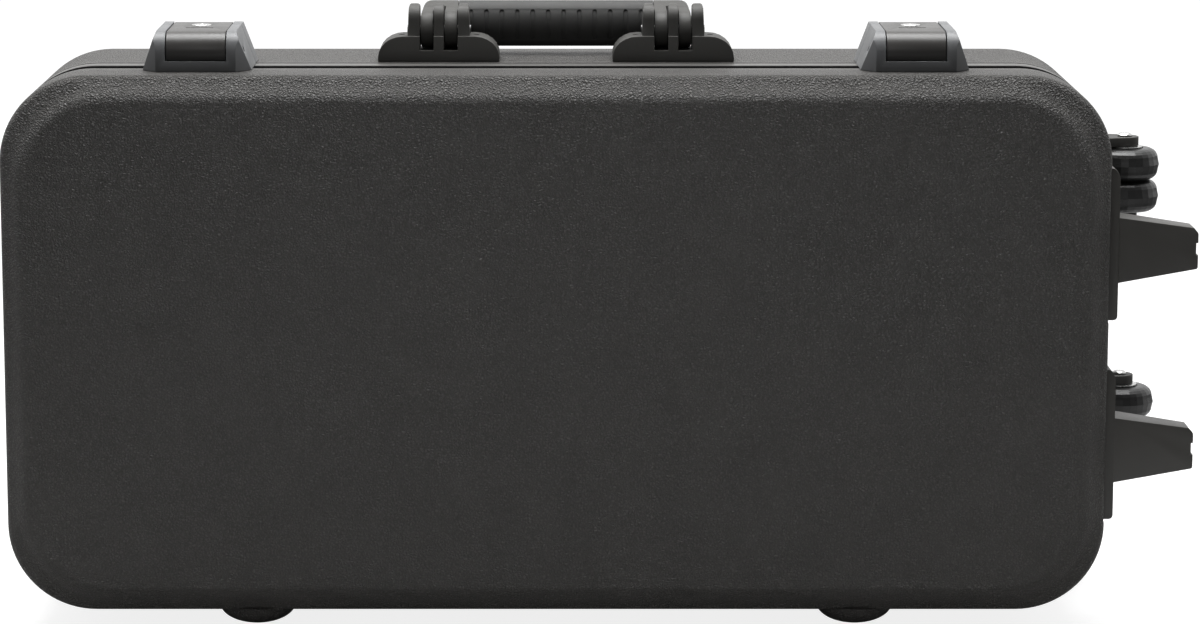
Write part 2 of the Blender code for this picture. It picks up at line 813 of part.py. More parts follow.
def latch_lever():
    """A drum-nosed lever in pivot coordinates: a curved nose, a flat top and a lip at its tail."""
    inner = lever_radius - lever_thickness
    nose_end = 90 + lever_nose_sweep
    tail = lever_tail - seat_gap - latch_pivot_depth
    outline = arc((0, 0), (lever_radius, lever_radius), nose_end, 90, 2 * curve_steps)
    outline += [
        (tail, lever_radius),
        (tail, lever_radius - lever_tail_lip_drop),
        (tail - lever_tail_lip_thickness, lever_radius - lever_tail_lip_drop),
        (tail - lever_tail_lip_thickness, inner),
    ]
    outline += arc((0, 0), (inner, inner), 90, nose_end, 2 * curve_steps)
    lever = prism(outline, "X", -lever_half_width, lever_half_width)
    cheek = rod(lever_radius - lever_thickness / 2, lever_cheek_thickness, "X", round_steps)
    place = lever_half_width - lever_cheek_thickness / 2 - merge_distance
    lock_spot = lock_axis - lever_pivot
    boss_height = lever_thickness / 2 + lock_boss_drop
    boss = rod(lock_boss_radius, boss_height, "Z", round_steps)
    boss = moved(boss, lock_spot - Vector((0, 0, lever_thickness / 2 + boss_height / 2)))
    lever = join(lever, *[moved(cheek, Vector((way * place, 0, 0))) for way in (-1, 1)], boss)
    pin_bore = rod(latch_pin_radius + running_gap, 2 * latch_base_width, "X", fine_steps)
    lock_bore = rod(lock_radius + running_gap, 4 * lock_barrel_depth, "Z", round_steps)
    recess_middle = lock_spot - Vector((0, lock_recess_offset, 0))
    recess_half = Vector((lock_recess_width, lock_recess_length, 2 * lock_recess_depth)) / 2
    recess = box(recess_middle - recess_half, recess_middle + recess_half)
    return cut(lever, pin_bore, moved(lock_bore, lock_spot), recess)


def latch_hook():
    """A steel strap under the lever with two claws that reach behind the keeper's lip."""
    low = hook_top - hook_thickness
    tip = keeper_lip_height + hook_lift
    strap_front = latch_pivot_depth + latch_nose_radius
    side_view = [
        (strap_front, hook_top),
        (strap_front, low),
        (claw_start, low),
        (claw_start, tip),
        (claw_end, tip),
        (claw_end, hook_top),
    ]
    outer = hook_arm_spread / 2 + hook_arm_width / 2
    inner = hook_arm_spread / 2 - hook_arm_width / 2
    arms = [prism(side_view, "X", inner, outer), prism(side_view, "X", -outer, -inner)]
    strap = box((-outer, strap_front, low), (outer, strap_front + hook_strap_depth, hook_top))
    return moved(join(strap, *arms), -lever_pivot)


def lock_cylinder():
    """A keyed plug in lock coordinates, its face just proud of the lever."""
    profile = [
        (0, lock_proud),
        (lock_radius, lock_proud),
        (lock_radius, -lock_flange_depth),
        (lock_barrel_radius, -lock_flange_depth),
        (lock_barrel_radius, -lock_barrel_depth),
        (0, -lock_barrel_depth),
    ]
    half = Vector((lock_key_width, lock_key_length, 2 * lock_key_depth)) / 2
    middle = Vector((0, 0, lock_proud))
    return cut(turned(profile, round_steps), box(middle - half, middle + half))


def lock_cam():
    """A flat tongue on the plug's inner end."""
    half = cam_width / 2
    outline = arc((0, 0), (half, half), 180, 360, curve_steps)
    outline += [(half, cam_reach), (-half, cam_reach)]
    top = -lock_barrel_depth - seat_gap
    return prism(outline, "Z", top - cam_thickness, top)


def lever_spring():
    """A torsion spring round the latch pin, its two legs under the lever and on the frame's floor."""
    radius = latch_pin_radius + spring_clearance + spring_wire_radius
    steps = 8 * spring_coils
    pitch = 2 * spring_wire_radius + spring_coil_gap
    width = pitch * spring_coils
    points = [(-width / 2, spring_leg, radius)]
    for i in range(steps + 1):
        turn = math.pi / 2 + 2 * math.pi * i / 8
        points.append((width * (i / steps - 0.5), radius * math.cos(turn), radius * math.sin(turn)))
    points.append((width / 2, spring_leg, radius))
    curve = bpy.data.curves.new("spring", "CURVE")
    curve.dimensions = "3D"
    curve.bevel_depth = spring_wire_radius
    curve.bevel_resolution = 1
    curve.use_fill_caps = True
    line = curve.splines.new("POLY")
    line.points.add(len(points) - 1)
    for spot, point in zip(line.points, points):
        spot.co = (*point, 1)
    work = bpy.data.objects.new("spring", curve)
    bpy.context.scene.collection.objects.link(work)
    graph = bpy.context.evaluated_depsgraph_get()
    mesh = bpy.data.meshes.new_from_object(work.evaluated_get(graph))
    bpy.data.objects.remove(work)
    bm = bmesh.new()
    bm.from_mesh(mesh)
    bmesh.ops.remove_doubles(bm, verts=bm.verts, dist=merge_distance)
    print("Spring: gap between coils", round(pitch - 2 * spring_wire_radius, 5))
    return to_mesh(bm)


frame_form = latch_frame()
keeper_form = latch_keeper()
lever_form = latch_lever()
hook_form = latch_hook()
plug_form = lock_cylinder()
cam_form = lock_cam()
spring_form = lever_spring()
latch_pin_form = rod(latch_pin_radius, latch_top_width + latch_pin_recess, "X", fine_steps)
for side, place in latch_places.items():
    piece(f"latch_frame_{side}", frame_form, latch_grey, lid, place - hinge_axis)
    piece(f"latch_keeper_{side}", keeper_form, latch_grey, stand, place)
    piece(f"latch_pin_{side}", latch_pin_form, dark_steel, lid, place + lever_pivot - hinge_axis)
    piece(f"latch_spring_{side}", spring_form, dark_steel, lid, place + lever_pivot - hinge_axis)
    piece(f"latch_lever_{side}", lever_form, lever_plastic, levers[side])
    piece(f"latch_hook_{side}", hook_form, dark_steel, levers[side])
    piece(f"lock_cylinder_{side}", plug_form, bright_steel, locks[side])
    piece(f"lock_cam_{side}", cam_form, dark_steel, locks[side])


# Handle brackets: domed shoulders and three lugs with two slots between them
def lug_comb():
    """The three lugs seen from the front: rounded tips, and outer flanks that lean in."""
    lug_half = lug_block_length / 2
    slot_near = slot_centre - slot_width / 2
    slot_far = slot_centre + slot_width / 2
    tip = (lug_tip_round, lug_tip_round)
    height = lug_height - lug_tip_round
    points = [(-lug_half, bracket_skirt)]
    for left, right in ((lug_lean - lug_half, -slot_far), (-slot_near, slot_near), (slot_far, lug_half - lug_lean)):
        points += arc((left + lug_tip_round, height), tip, 180, 90, edge_steps)
        points += arc((right - lug_tip_round, height), tip, 90, 0, edge_steps)
        if right < slot_far:
            points += [(right, slot_floor), (right + slot_width, slot_floor)]
    return points + [(lug_half, bracket_skirt)]


def handle_bracket():
    half = bracket_length / 2
    run = bracket_shoulder_run
    rise = bracket_shoulder_height - bracket_skirt
    outline = [(half, seat_gap)]
    outline += arc((half - run, bracket_skirt), (run, rise), 0, 90, curve_steps + 1)
    outline += arc((run - half, bracket_skirt), (run, rise), 90, 180, curve_steps + 1)
    outline += [(-half, seat_gap)]
    base = prism(outline, "Y", -bracket_depth / 2, bracket_depth / 2)
    lugs = prism(lug_comb(), "Y", -lug_depth, lug_depth)
    side_view = [(lug_depth / 2, bracket_skirt)]
    side_view += arc((lug_depth / 2 - lug_round, lug_height - lug_round), (lug_round, lug_round), 0, 90, curve_steps)
    side_view += arc((lug_round - lug_depth / 2, lug_height - lug_round), (lug_round, lug_round), 90, 180, curve_steps)
    side_view += [(-lug_depth / 2, bracket_skirt)]
    lugs = combined(lugs, "INTERSECT", [prism(side_view, "X", -lug_block_length, lug_block_length)])
    block = join(base, lugs)
    slots = []
    for way in (-1, 1):
        low = (way * slot_centre - slot_width / 2, -bracket_depth, slot_floor)
        high = (way * slot_centre + slot_width / 2, bracket_depth, lug_height + cut_overrun)
        slots.append(box(low, high))
    pin_bore = rod(handle_pin_radius + running_gap, 2 * lug_block_length, "X", fine_steps)
    sinks = []
    for way in (-1, 1):
        sink_height = 2 * bracket_shoulder_height
        sink = rod(screw_head_radius + running_gap, sink_height, "Z", fine_steps)
        sinks.append(moved(sink, Vector((way * slot_centre, 0, screw_sink_floor + sink_height / 2))))
        drill = rod(screw_shank_radius + running_gap, 4 * bracket_shoulder_height, "Z", fine_steps)
        sinks.append(moved(drill, Vector((way * slot_centre, 0, 0))))
        pit = rod(shoulder_pit_radius, sink_height, "Z", fine_steps)
        sinks.append(moved(pit, Vector((way * shoulder_pit_offset, 0, shoulder_pit_floor + sink_height / 2))))
    return cut(block, *slots, moved(pin_bore, Vector((0, 0, handle_pivot_height))), *sinks)


def handle_screw():
    """A pan-head screw, with Z from the shell's top. Its head sits in the floor of a slot."""
    top = screw_sink_floor + seat_gap + screw_head_height
    profile = [
        (0, top),
        (screw_head_radius * screw_head_crown_share, top),
        (screw_head_radius, top - screw_head_height / 2),
        (screw_head_radius, top - screw_head_height),
        (screw_shank_radius, top - screw_head_height),
        (screw_shank_radius, -screw_tip),
        (0, -screw_tip),
    ]
    return turned(profile, fine_steps)


def backplate():
    """A steel strip inside the body that the four handle screws pull against."""
    half = max(screw_spots) + backplate_overhang
    top = -shell_wall - seat_gap
    low = (-half, -backplate_width / 2, top - backplate_thickness)
    plate = box(low, (half, backplate_width / 2, top))
    drill = rod(screw_shank_radius + running_gap, 4 * screw_tip, "Z", fine_steps)
    return cut(plate, *[moved(drill, Vector((x, 0, 0))) for x in screw_spots])


bracket_form = handle_bracket()
screw_form = handle_screw()
handle_pin_form = rod(handle_pin_radius, lug_block_length, "X", fine_steps)
for side, way in (("left", -1), ("right", 1)):
    spot = Vector((way * bracket_spacing / 2, bracket_centre_depth, shell_height))
    piece(f"handle_bracket_{side}", bracket_form, bracket_plastic, stand, spot)
    piece(f"handle_pin_{side}", handle_pin_form, dark_steel, stand, spot + Vector((0, 0, handle_pivot_height)))
for number, x in enumerate(screw_spots, 1):
    piece(f"handle_screw_{number}", screw_form, dark_steel, stand, Vector((x, bracket_centre_depth, shell_height)))
piece("handle_backplate", backplate(), dark_steel, stand, Vector((0, bracket_centre_depth, shell_height)))


# Handle: a stiff core with two forked ends, and a soft grip round its bar
def grip_bar(half_depth, half_height, length):
    bar = rod(1, length, "X", round_steps)
    bar.transform(Matrix.Diagonal((1, half_depth, half_height, 1)))
    return moved(bar, Vector((0, grip_offset, 0)))


def handle_core():
    """Both fork ends and the bar between them, in handle coordinates."""
    reach = handle_arm_radius
    oval = (grip_half_depth, grip_half_height)
    outline = arc((0, 0), (reach, reach), 90, 270, 2 * curve_steps)
    outline += [(arm_flat_length, -reach)]
    outline += arc((grip_offset, 0), oval, -110, 110, 2 * curve_steps)
    outline += [(arm_flat_length, reach)]
    core = grip_bar(grip_bore_half_depth, grip_bore_half_height, 2 * (grip_half_length + arm_width))
    bore = rod(handle_pin_radius + running_gap, 2 * lug_block_length, "X", fine_steps)
    for way in (-1, 1):
        middle = way * bracket_spacing / 2
        near = slot_centre + arm_width / 2
        fork = prism(outline, "X", middle - way * near, middle + way * (near + cut_overrun))
        half_slot = slot_centre - arm_width / 2
        low = (middle - half_slot, -2 * reach, -2 * grip_half_height)
        high = (middle + half_slot, fork_slot_reach, 2 * grip_half_height)
        fork = cut(fork, box(low, high), moved(bore, Vector((middle, 0, 0))))
        core = join(core, fork)
    return combined(core, "INTERSECT", handle_limits())


def handle_limits():
    """Two slabs with rounded ends, one seen from the front and one from above, that give the handle its ends."""
    round_end = (handle_end_round, handle_end_round)
    inner = handle_end - handle_end_round
    tall = grip_half_height - handle_end_round
    deep = grip_offset + grip_half_depth - handle_end_round
    front_view = []
    for number, (way, level) in enumerate(((1, 1), (-1, 1), (-1, -1), (1, -1))):
        first = 90 * number
        front_view += arc((way * inner, level * tall), round_end, first, first + 90, curve_steps)
    top_view = arc((inner, deep), round_end, 0, 90, curve_steps)
    top_view += arc((-inner, deep), round_end, 90, 180, curve_steps)
    top_view += [(-handle_end, -grip_offset), (handle_end, -grip_offset)]
    front_slab = prism(front_view, "Y", -grip_offset, 2 * grip_offset)
    return [front_slab, prism(top_view, "Z", -grip_offset, grip_offset)]


def handle_grip():
    """The sleeve, with a row of short upright grooves on its front and on its back."""
    sleeve = grip_bar(grip_half_depth, grip_half_height, 2 * grip_half_length)
    gap = running_gap
    bore = grip_bar(grip_bore_half_depth + gap, grip_bore_half_height + gap, 3 * grip_half_length)
    end = grip_groove_width / 2
    straight = grip_groove_length / 2 - end
    grooves = bmesh.new()
    for number in range(grip_groove_count):
        x = (number - (grip_groove_count - 1) / 2) * grip_groove_pitch
        pill = arc((x, straight), (end, end), 0, 180, edge_steps)
        pill += arc((x, -straight), (end, end), 180, 360, edge_steps)
        grooves.from_mesh(prism(pill, "Y", -grip_half_depth, 2 * grip_offset))
    core = grip_bar(grip_half_depth - grip_groove_depth, grip_half_height - grip_groove_depth, 3 * grip_half_length)
    return cut(sleeve, bore, cut(to_mesh(grooves), core))


piece("handle_core", handle_core(), bracket_plastic, handle)
piece("handle_grip", handle_grip(), grip_rubber, handle)


# Wheels: two pairs, each on an upright axle between the ears of a bracket on the body's end wall
def wheel_bracket():
    """The bracket in axle coordinates."""
    wall = seat_gap - axle_reach
    face = wall + bracket_plate_thickness
    half = bracket_plate_half
    plate = box((wall, -bracket_plate_width / 2, -half), (face, bracket_plate_width / 2, half))
    window_half = bracket_window_width / 2
    window = box((wall - cut_overrun, -window_half, -ear_start), (face + cut_overrun, window_half, ear_start))
    plate = cut(plate, window)
    spread = math.degrees(math.asin(ear_nose_radius / axle_reach))
    nose = arc((0, 0), (ear_nose_radius, ear_nose_radius), spread - 90, 90 - spread, 2 * curve_steps)
    outline = nose + [(wall, ear_root_width / 2), (wall, -ear_root_width / 2)]
    upper = prism(outline, "Z", ear_start, ear_end)
    lower = prism(outline, "Z", -ear_end, -ear_start)
    bore = rod(axle_radius + running_gap, 4 * ear_end, "Z", fine_steps)
    return cut(join(plate, upper, lower), bore)


def axle_bolt():
    top = ear_end + seat_gap
    foot = ear_end + seat_gap + axle_nut_height
    profile = [
        (0, top + axle_head_height),
        (axle_head_radius * axle_head_crown_share, top + axle_head_height),
        (axle_head_radius, top + axle_head_height * axle_head_rim_share),
        (axle_head_radius, top),
        (axle_radius, top),
        (axle_radius, -foot),
        (0, -foot),
    ]
    return turned(profile, round_steps)


def axle_nut():
    nut = rod(axle_nut_radius, axle_nut_height, "Z", 6)
    bore = rod(axle_radius + running_gap, 2 * axle_nut_height, "Z", fine_steps)
    return moved(cut(nut, bore), Vector((0, 0, -ear_end - seat_gap - axle_nut_height / 2)))


def washer():
    disc = rod(washer_radius, washer_thickness, "Z", round_steps)
    bore = rod(axle_radius + running_gap, 2 * washer_thickness, "Z", fine_steps)
    return cut(disc, bore)


def wheel_tyre():
    half = wheel_width / 2
    corner = (wheel_radius - wheel_crown - wheel_corner, half - wheel_corner)
    inner = hub_radius + running_gap
    profile = [(inner, half)]
    profile += reversed(arc(corner, (wheel_corner, wheel_corner), 0, 90, curve_steps))
    profile += [(wheel_radius, 0)]
    profile += reversed(arc((corner[0], -corner[1]), (wheel_corner, wheel_corner), -90, 0, curve_steps))
    profile += [(inner, -half)]
    return turned(profile, wheel_steps)


def wheel_hub():
    half = wheel_width / 2 - hub_recess
    bore = axle_radius + running_gap
    return turned([(bore, half), (hub_radius, half), (hub_radius, -half), (bore, -half)], round_steps)


wheel_bracket_form = wheel_bracket()
bolt_form, nut_form, washer_form = axle_bolt(), axle_nut(), washer()
tyre_form, hub_form = wheel_tyre(), wheel_hub()
washer_height = pair_half + running_gap + washer_thickness / 2
for level, place in wheel_places.items():
    piece(f"wheel_bracket_{level}", wheel_bracket_form, bracket_plastic, stand, place)
    piece(f"axle_bolt_{level}", bolt_form, bright_steel, stand, place)
    piece(f"axle_nut_{level}", nut_form, bright_steel, stand, place)
    piece(f"axle_washer_{level}", washer_form, bright_steel, stand, place + Vector((0, 0, washer_height)))
    for spot, way in (("top", 1), ("bottom", -1)):
        centre = place + Vector((0, 0, way * wheel_offset))
        axis = pivot(f"wheel_axis_{level}_{spot}", stand, centre)
        piece(f"wheel_tyre_{level}_{spot}", tyre_form, wheel_rubber, axis)
        piece(f"wheel_hub_{level}_{spot}", hub_form, hub_plastic, axis)


# Wedge feet: a flange in the lid's pocket with a tapering block that the case stands on when it is on end
def softened(bm, edges, width, segments):
    """Bevels some edges of a bmesh."""
    bmesh.ops.bevel(
        bm,
        geom=edges,
        offset=width,
        offset_type="OFFSET",
        segments=segments,
        profile=0.5,
        affect="EDGES",
        material=-1,
    )


def wedge_foot():
    """The foot in case depth, with X from the end wall and Z from the flange's middle."""
    inner = seat_gap - foot_pocket_depth
    half = foot_flange_length / 2
    side_view = [(inner, -half)]
    heel = (foot_flange_proud - foot_heel_round, foot_heel_round - half)
    side_view += arc(heel, (foot_heel_round, foot_heel_round), -90, 0, edge_steps)
    nose = (foot_flange_proud - foot_nose_depth, half - foot_nose_height)
    side_view += arc(nose, (foot_nose_depth, foot_nose_height), 0, 90, curve_steps)
    side_view += [(inner, half)]
    flange = prism(side_view, "Y", foot_front, foot_rear)
    bm = bmesh.new()
    bmesh.ops.create_cube(bm, size=1)
    for vert in bm.verts:
        tip, rear, high = vert.co.x > 0, vert.co.y > 0, vert.co.z > 0
        if tip:
            y = foot_rear - foot_tip_rear_inset if rear else foot_front + foot_tip_front_inset
            z = foot_tip_above if high else -foot_tip_below
            vert.co = (foot_reach, y, z)
        else:
            y = foot_rear if rear else foot_front
            z = foot_root_above if high else -foot_root_below
            vert.co = (0, y, z)
    top_edge = [e for e in bm.edges if all(v.co.x > 0 and v.co.z > 0 for v in e.verts)]
    softened(bm, top_edge, foot_tip_chamfer, 1)
    bm.normal_update()
    softened(bm, list(max(bm.faces, key=lambda face: face.normal.x).edges), foot_edge_round, 2)
    bmesh.ops.triangulate(bm, faces=bm.faces)
    foot = join(flange, to_mesh(bm))
    notch_low = (foot_reach - foot_notch_depth, foot_front - cut_overrun, -foot_notch_offset - foot_notch_height / 2)
    notch_high = (foot_reach + cut_overrun, foot_rear + cut_overrun, -foot_notch_offset + foot_notch_height / 2)
    foot = cut(foot, box(notch_low, notch_high))
    stud_tip = seat_gap - shell_wall
    stud_root = foot_flange_proud / 2
    for way in (-1, 1):
        stud = rod(foot_stud_radius, stud_root - stud_tip, "X", fine_steps)
        middle = Vector(((stud_root + stud_tip) / 2, foot_centre, way * foot_stud_spacing / 2))
        foot = join(foot, moved(stud, middle))
    return foot


foot_form = wedge_foot()
for level, place in foot_places.items():
    piece(f"wedge_foot_{level}", foot_form, foot_plastic, lid, place - hinge_axis)
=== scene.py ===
"""Looks of the hard case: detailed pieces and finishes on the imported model's bodies."""
import math

import bmesh
import bpy
from mathutils import Matrix, Vector


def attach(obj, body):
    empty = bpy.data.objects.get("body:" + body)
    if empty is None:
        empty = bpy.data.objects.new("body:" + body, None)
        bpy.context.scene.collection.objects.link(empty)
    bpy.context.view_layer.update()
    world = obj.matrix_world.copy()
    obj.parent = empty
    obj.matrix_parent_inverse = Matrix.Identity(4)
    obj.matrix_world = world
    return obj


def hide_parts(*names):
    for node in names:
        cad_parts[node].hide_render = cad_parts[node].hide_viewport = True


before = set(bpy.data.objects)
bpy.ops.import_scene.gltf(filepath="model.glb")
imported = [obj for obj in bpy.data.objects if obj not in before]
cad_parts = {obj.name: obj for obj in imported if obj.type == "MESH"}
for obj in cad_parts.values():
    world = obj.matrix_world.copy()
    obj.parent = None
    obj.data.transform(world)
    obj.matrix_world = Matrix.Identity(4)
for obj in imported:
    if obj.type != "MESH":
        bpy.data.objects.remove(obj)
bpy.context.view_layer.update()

# Lid shell and body shell: the two deep dishes that make the case, moulded from charcoal plastic with a pebbled
# grain. Each has a 4 mm wall, a rounded edge, a shallow valley, a raised front or back panel, and two domed bumps
# that it stands on. The lid's end wall has two pockets that take the flanges of the wedge feet.
case_middle = Vector((-0.02925, -0.0349, 0.0116))
case_width, case_height, case_corner = 0.720, 0.354, 0.0575
shell_wall = 0.004
lid_shell_span, body_shell_span = (0.0075, 0.0437), (0.0253, 0.1135)
panel_rise, edge_round, valley_round, crown_round = 0.0135, 0.0055, 0.0220, 0.0114
valley_tilt, panel_tilt, panel_swell = math.radians(28), math.radians(42), 0.0120
corner_segments, edge_segments, valley_segments, crown_segments = 20, 6, 5, 10
smallest_corner = 0.003
bump_spacing, bump_size, bump_dome, bump_lift = 0.395, (0.0250, 0.0210, 0.0128), 0.0026, 0.0008
bump_flat, bump_segments = 0.0116, (48, 32)
bump_depths = {"lid": -0.0292, "body": 0.0910}
pocket_reach, pocket_depth, pocket_span, pocket_round = 0.0515, 0.0020, (-0.0465, 0.0010), 0.0030
pocket_segments, foot_heights = 6, (0.2422, 0.1094)
weld = 0.000002
smooth_angle = 32


def outline(depth, inset, swell=0.0):
    """The rounded outline of the case at one depth, moved inwards, with its corners widened by the swell."""
    radius = max(case_corner - inset + swell, smallest_corner)
    x, z = case_width / 2 - inset - radius, case_height / 2 - inset - radius
    points = []
    for corner, (side, level) in enumerate(((1, 1), (-1, 1), (-1, -1), (1, -1))):
        for step in range(corner_segments + 1):
            turn = math.pi / 2 * (corner + step / corner_segments)
            across = side * x + radius * math.cos(turn)
            points.append((across, depth, case_height / 2 + level * z + radius * math.sin(turn)))
    return points


def lofted(stations, ring=False, capped=()):
    """Joins outlines at (depth, inset, swell) stations into a skin or a closed ring, and fills the ends named."""
    bm = bmesh.new()
    loops = [[bm.verts.new(spot) for spot in outline(*station)] for station in stations]
    for one, two in list(zip(loops, loops[1:])) + ([(loops[-1], loops[0])] if ring else []):
        for i in range(len(one)):
            bm.faces.new((one[i - 1], one[i], two[i], two[i - 1]))
    for end in capped:
        bm.faces.new(loops[end])
    bmesh.ops.recalc_face_normals(bm, faces=bm.faces)
    bm.normal_update()
    return bm


def as_mesh(bm, name):
    mesh = bpy.data.meshes.new(name)
    bm.to_mesh(mesh)
    bm.free()
    return mesh


def worked(mesh, kind, others=(), **settings):
    """The mesh after one modifier, or after one Boolean for each of the other meshes."""
    for other in others or (None,):
        work = bpy.data.objects.new("work", mesh)
        bpy.context.scene.collection.objects.link(work)
        step = work.modifiers.new("step", kind)
        for name, value in settings.items():
            setattr(step, name, value)
        if other:
            tool = bpy.data.objects.new("tool", other)
            bpy.context.scene.collection.objects.link(tool)
            step.object = tool
        graph = bpy.context.evaluated_depsgraph_get()
        mesh = bpy.data.meshes.new_from_object(work.evaluated_get(graph))
        bpy.data.objects.remove(work)
        if other:
            bpy.data.objects.remove(tool)
    return mesh


def shown(name, mesh, finish, body, replaced, place=case_middle):
    """Puts a finished mesh in the scene on its body, in place of its CAD nodes."""
    mesh.transform(Matrix.Translation(place))
    mesh.materials.clear()
    mesh.materials.append(finish)
    mesh.shade_smooth()
    mesh.set_sharp_from_angle(angle=math.radians(smooth_angle))
    piece = bpy.data.objects.new(name, mesh)
    bpy.context.scene.collection.objects.link(piece)
    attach(piece, body)
    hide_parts(*replaced)
    return piece


def node(tree, kind, inputs=(), **settings):
    """Adds a shader node. Inputs are values, or sockets that link in."""
    made = tree.nodes.new("ShaderNode" + kind)
    for name, value in settings.items():
        setattr(made, name, value)
    for name, value in dict(inputs).items():
        if isinstance(value, bpy.types.NodeSocket):
            tree.links.new(value, made.inputs[name])
        else:
            made.inputs[name].default_value = value
    return made


def plain(name, roughness, metallic=0.0, specular=0.5):
    """A new material: its tree, its shader, and its object coordinates."""
    made = bpy.data.materials.new(name)
    made.use_nodes = True
    tree = made.node_tree
    shader = tree.nodes["Principled BSDF"]
    shader.inputs["Roughness"].default_value = roughness
    shader.inputs["Metallic"].default_value = metallic
    shader.inputs["Specular IOR Level"].default_value = specular
    return made, tree, shader, node(tree, "TexCoord").outputs["Object"]


def ramp(tree, source, low, high, start, end):
    """Maps a value's range on to a range of numbers."""
    inputs = {"Value": source, "From Min": low, "From Max": high, "To Min": start, "To Max": end}
    return node(tree, "MapRange", inputs).outputs["Result"]


def tinted(tree, factor, one, two):
    """A colour between two, by a factor."""
    made = node(tree, "Mix", {"Factor": factor}, data_type="RGBA")
    made.inputs[6].default_value = (*one, 1)
    made.inputs[7].default_value = (*two, 1)
    return made.outputs[2]


def noise(tree, place, scale, detail=3.0, rough=0.55):
    inputs = {"Vector": place, "Scale": scale, "Detail": detail, "Roughness": rough}
    return node(tree, "TexNoise", inputs).outputs["Fac"]


def relief(tree, shader, height, distance):
    """Bump of a height, on a shader's surface."""
    inputs = {"Height": height, "Distance": distance, "Strength": 1.0}
    tree.links.new(node(tree, "Bump", inputs).outputs["Normal"], shader.inputs["Normal"])


pebble_cell, pebble_groove, pebble_depth = 520.0, 0.42, 0.00110
pebble_dark, pebble_light, edge_border = (0.034, 0.0322, 0.0298), (0.078, 0.0742, 0.0690), 0.0110
pebble_roughness, border_grain, drift_scale, drift_reach = (0.52, 0.42), 0.15, 600.0, 0.0022
pit_scale, pit_share, patch_scale, painted_glint_weight, tone_range = 1500.0, 0.30, 30.0, 2.0, (0.5, 2.5)


def pebbled(name, rim_depth, way):
    """Moulded grain: flat-topped pebbles of about 2 mm between narrow grooves, smoother in a border by the rim.
    The pebble tops are painted lighter and the grooves darker, a painted highlight and shade, mixed with random
    patches of tone.
    """
    made, tree, shader, place = plain(name, 0.5)
    drift = node(tree, "TexNoise", {"Vector": place, "Scale": drift_scale, "Detail": 2.0}).outputs["Color"]
    pushed = node(tree, "VectorMath", {0: drift, "Scale": drift_reach}, operation="SCALE").outputs[0]
    spot = node(tree, "VectorMath", {0: place, 1: pushed}, operation="ADD").outputs[0]
    grid = {"Vector": spot, "Scale": pebble_cell}
    cells = node(tree, "TexVoronoi", grid, feature="DISTANCE_TO_EDGE").outputs["Distance"]
    domes = ramp(tree, cells, 0.0, pebble_groove, 0.0, 1.0)
    pits = noise(tree, place, pit_scale, 2.0)
    both = node(tree, "Math", {0: pits, 1: pit_share, 2: domes}, operation="MULTIPLY_ADD").outputs[0]
    depth = node(tree, "SeparateXYZ", {"Vector": place}).outputs["Y"]
    rim = case_middle.y + way * rim_depth
    grained = ramp(tree, depth, rim, rim + way * edge_border, border_grain, 1.0)
    height = node(tree, "Math", {0: both, 1: grained}, operation="MULTIPLY").outputs[0]
    relief(tree, shader, height, pebble_depth)
    # Colour: a painted highlight on the pebble tops and painted shade in the grooves, from the bump's dome mask,
    # plus random patches of real tone.
    patch = noise(tree, place, patch_scale, 4.0)
    painted_glint_and_patch = node(tree, "Math", {0: domes, 1: painted_glint_weight, 2: patch}, operation="MULTIPLY_ADD").outputs[0]
    tone = ramp(tree, painted_glint_and_patch, *tone_range, 0.0, 1.0)
    tree.links.new(tinted(tree, tone, pebble_dark, pebble_light), shader.inputs["Base Color"])
    tree.links.new(ramp(tree, both, 0.2, 1.2, *pebble_roughness), shader.inputs["Roughness"])
    return made


def panel_stations(span, way):
    """The outside of a shell, from its rim to its panel: wall, round edge, shallow valley, slope and crown."""
    edge, wall_end = span
    points = [(edge, 0.0, 0.0), ((edge + wall_end) / 2, 0.0, 0.0)]
    for i in range(edge_segments + 1):
        tilt = math.pi / 2 + (valley_tilt - math.pi / 2) * i / edge_segments
        points.append((edge_round * math.cos(tilt) + wall_end, edge_round * (1 - math.sin(tilt)), 0.0))
    start, begun, _ = points[-1]
    for i in range(1, valley_segments + 1):
        tilt = valley_tilt + (panel_tilt - valley_tilt) * i / valley_segments
        rise = valley_round * (math.cos(valley_tilt) - math.cos(tilt))
        run = valley_round * (math.sin(tilt) - math.sin(valley_tilt))
        points.append((start + rise, begun + run, panel_swell * i / valley_segments))
    slope_rise = wall_end + panel_rise - points[-1][0] - crown_round * (1 - math.cos(panel_tilt))
    flat_inset = points[-1][1] + slope_rise / math.tan(panel_tilt) + crown_round * math.sin(panel_tilt)
    for i in range(crown_segments + 1):
        tilt = panel_tilt * (1 - i / crown_segments)
        rise = panel_rise - crown_round * (1 - math.cos(tilt))
        points.append((wall_end + rise, flat_inset - crown_round * math.sin(tilt), panel_swell))
    return [(way * depth, inset, swell) for depth, inset, swell in points]


def bump_mesh(x, depth):
    """A flattened dome that goes up into the shell's wall."""
    bm = bmesh.new()
    bmesh.ops.create_uvsphere(bm, u_segments=bump_segments[0], v_segments=bump_segments[1], radius=1)
    for vert in bm.verts:
        tall = bump_dome if vert.co.z > 0 else bump_size[2]
        vert.co = (vert.co.x * bump_size[0], vert.co.y * bump_size[1], vert.co.z * tall + bump_lift)
        vert.co.z = max(vert.co.z, -bump_flat)
    bmesh.ops.remove_doubles(bm, verts=bm.verts, dist=weld)
    bmesh.ops.translate(bm, vec=(x, depth, 0), verts=bm.verts)
    return as_mesh(bm, "bump")


def brick(low, high, rounding, segments, axis):
    """A box between two corners, its edges along one axis rounded over."""
    bm = bmesh.new()
    bmesh.ops.create_cube(bm, size=1)
    low, high = Vector(low), Vector(high)
    bmesh.ops.scale(bm, vec=high - low, verts=bm.verts)
    bmesh.ops.translate(bm, vec=(low + high) / 2, verts=bm.verts)
    chosen = [e for e in bm.edges if abs((e.verts[0].co - e.verts[1].co).normalized()[axis]) > 0.9]
    rounded_over(bm, chosen, rounding, segments)
    return bm


